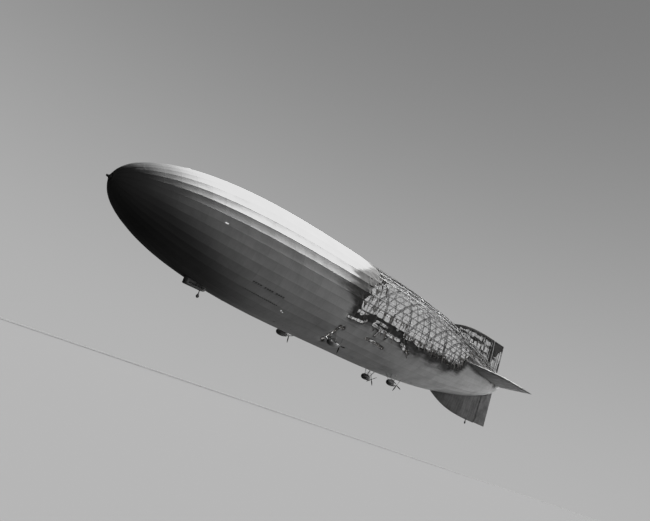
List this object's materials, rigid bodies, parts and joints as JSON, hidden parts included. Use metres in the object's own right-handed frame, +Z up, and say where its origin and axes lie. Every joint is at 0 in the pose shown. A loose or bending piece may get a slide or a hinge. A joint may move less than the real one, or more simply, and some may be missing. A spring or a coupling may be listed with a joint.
{
  "type": "rigid airship scale model",
  "caption": "1:10 rigid passenger airship with a burnt-open stern, bare frame, cross fins, control car, engine cars with propellers and landing wheels.",
  "frame": {"origin": "centre of buoyancy on the hull's axis, where the air holds the ship up", "axes": "+X forward to the nose, +Y to port, +Z up"},
  "size_m": [24.53, 4.6, 4.8641],
  "materials": {
    "cover": "doped silver fabric",
    "scorched_cover": "scorched doped fabric",
    "bow_metal": "painted satin",
    "girder": "sooty duralumin",
    "gas_cell": "gelatined cotton",
    "car_metal": "silver paint",
    "engine": "oily",
    "propeller": "varnished with metal tips",
    "glass": "clear",
    "leg": "silver paint",
    "tyre": "matt"
  },
  "bodies": {
    "root": {"bow_cap": "bow_metal", "control_car": "car_metal", "control_car_glass": "glass", "cover_aft": "cover", "cover_bow": "cover", "cover_forward": "cover", "cover_middle": "cover", "cover_stern": "cover", "engine_aft_port": "engine", "engine_aft_starboard": "engine", "engine_car_aft_port": "car_metal", "engine_car_aft_starboard": "car_metal", "engine_car_forward_port": "car_metal", "engine_car_forward_starboard": "car_metal", "engine_forward_port": "engine", "engine_forward_starboard": "engine", "fin_lower": "cover", "fin_port": "cover", "fin_starboard": "cover", "fin_upper": "scorched_cover", "frame_aft": "girder", "frame_fore": "girder", "frame_middle": "girder", "gas_cell_end": "gas_cell", "landing_leg_aft": "leg", "landing_leg_forward": "leg", "mooring_spindle": "bow_metal", "tail_cone": "bow_metal"},
    "rudder_upper": {"rudder_upper": "scorched_cover"},
    "rudder_lower": {"rudder_lower": "cover"},
    "elevator_port": {"elevator_port": "cover"},
    "elevator_starboard": {"elevator_starboard": "cover"},
    "propeller_forward_port": {"propeller_forward_port": "propeller"},
    "propeller_forward_starboard": {"propeller_forward_starboard": "propeller"},
    "propeller_aft_port": {"propeller_aft_port": "propeller"},
    "propeller_aft_starboard": {"propeller_aft_starboard": "propeller"},
    "wheel_fork_forward": {"wheel_fork_forward": "leg"},
    "landing_wheel_forward": {"landing_wheel_forward": "tyre"},
    "wheel_fork_aft": {"wheel_fork_aft": "leg"},
    "landing_wheel_aft": {"landing_wheel_aft": "tyre"}
  },
  "joints": [
    {"name": "rudder_upper_hinge", "type": "hinge", "parent": "root", "child": "rudder_upper", "pos_m": [-11.41, 0, 1.5], "axis": [0, 0, 1], "range_deg": [-20, 20]},
    {"name": "rudder_lower_hinge", "type": "hinge", "parent": "root", "child": "rudder_lower", "pos_m": [-11.41, 0, -1.5], "axis": [0, 0, 1], "range_deg": [-20, 20]},
    {"name": "elevator_port_hinge", "type": "hinge", "parent": "root", "child": "elevator_port", "pos_m": [-11.41, 1.5, 0], "axis": [0, 1, 0], "range_deg": [-20, 20]},
    {"name": "elevator_starboard_hinge", "type": "hinge", "parent": "root", "child": "elevator_starboard", "pos_m": [-11.41, -1.5, 0], "axis": [0, 1, 0], "range_deg": [-20, 20]},
    {"name": "propeller_forward_port_spin", "type": "hinge", "parent": "root", "child": "propeller_forward_port", "pos_m": [1.51, 1.5084, -1.9306], "axis": [1, 0, 0], "continuous": true},
    {"name": "propeller_forward_starboard_spin", "type": "hinge", "parent": "root", "child": "propeller_forward_starboard", "pos_m": [1.51, -1.5084, -1.9306], "axis": [1, 0, 0], "continuous": true},
    {"name": "propeller_aft_port_spin", "type": "hinge", "parent": "root", "child": "propeller_aft_port", "pos_m": [-3.44, 0.7447, -2.292], "axis": [1, 0, 0], "continuous": true},
    {"name": "propeller_aft_starboard_spin", "type": "hinge", "parent": "root", "child": "propeller_aft_starboard", "pos_m": [-3.44, -0.7447, -2.292], "axis": [1, 0, 0], "continuous": true},
    {"name": "wheel_fork_forward_swivel", "type": "hinge", "parent": "root", "child": "wheel_fork_forward", "pos_m": [7.31, 0, -2.22], "axis": [0, 0, 1], "continuous": true},
    {"name": "landing_wheel_forward_spin", "type": "hinge", "parent": "wheel_fork_forward", "child": "landing_wheel_forward", "pos_m": [7.31, 0, -2.22], "axis": [0, 1, 0], "continuous": true},
    {"name": "wheel_fork_aft_swivel", "type": "hinge", "parent": "root", "child": "wheel_fork_aft", "pos_m": [-10.65, 0, -2.46], "axis": [0, 0, 1], "continuous": true},
    {"name": "landing_wheel_aft_spin", "type": "hinge", "parent": "wheel_fork_aft", "child": "landing_wheel_aft", "pos_m": [-10.65, 0, -2.46], "axis": [0, 1, 0], "continuous": true}
  ],
  "couplings": [
    {"joint": "rudder_lower_hinge", "follows": "rudder_upper_hinge", "ratio": 1},
    {"joint": "elevator_starboard_hinge", "follows": "elevator_port_hinge", "ratio": 1}
  ]
}
